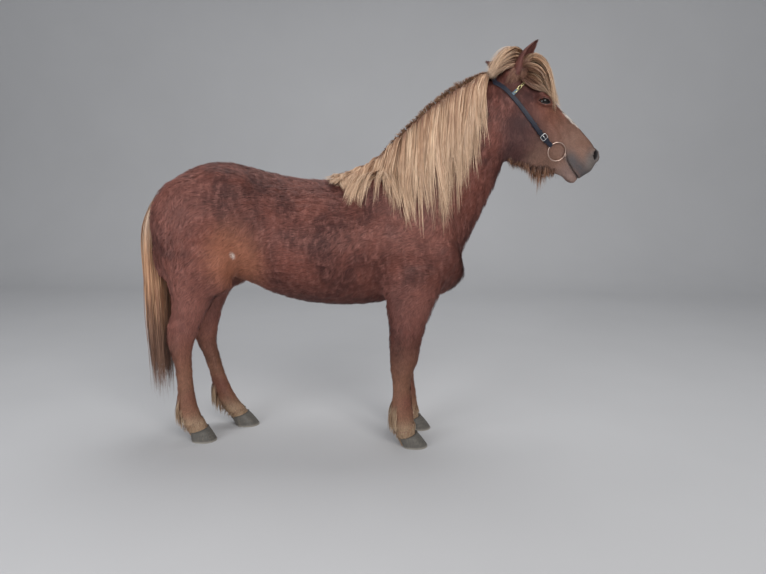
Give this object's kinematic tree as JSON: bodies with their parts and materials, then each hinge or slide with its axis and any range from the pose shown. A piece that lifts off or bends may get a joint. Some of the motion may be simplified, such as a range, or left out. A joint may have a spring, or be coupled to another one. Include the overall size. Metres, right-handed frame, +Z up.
{
  "type": "icelandic horse",
  "caption": "Icelandic horse standing square, head raised, long mane over the right side, in a leather bridle with ring bits and a chain browband.",
  "frame": {"origin": "on the ground, under the middle of the whole model", "axes": "+X towards the nose, +Y to the horse's left, +Z up"},
  "size_m": [2.2467, 0.5786, 1.9479],
  "materials": {
    "coat": "medium winter coat, chestnut, matt with a slight sheen",
    "hair": "long flaxen hair over brown roots",
    "horn": "hoof horn, grey-brown, dull",
    "eye": "dark wet eye",
    "strap": "dark navy leather",
    "brass": "pale brass chain",
    "copper": "copper-coloured metal ring",
    "steel": "plain silver-coloured buckle"
  },
  "bodies": {
    "root": {"head": "coat", "neck": "coat", "torso": "coat", "foreleg_left": "coat", "foreleg_right": "coat", "hindleg_left": "coat", "hindleg_right": "coat", "ear_left": "coat", "ear_right": "coat", "tail": "hair", "eye_left": "eye", "eye_right": "eye", "hoof_fore_left": "horn", "hoof_fore_right": "horn", "hoof_hind_left": "horn", "hoof_hind_right": "horn", "headstall": "strap", "browband": "brass", "bit_left": "copper", "bit_right": "copper", "buckle_left": "steel", "buckle_right": "steel"}
  },
  "joints": []
}
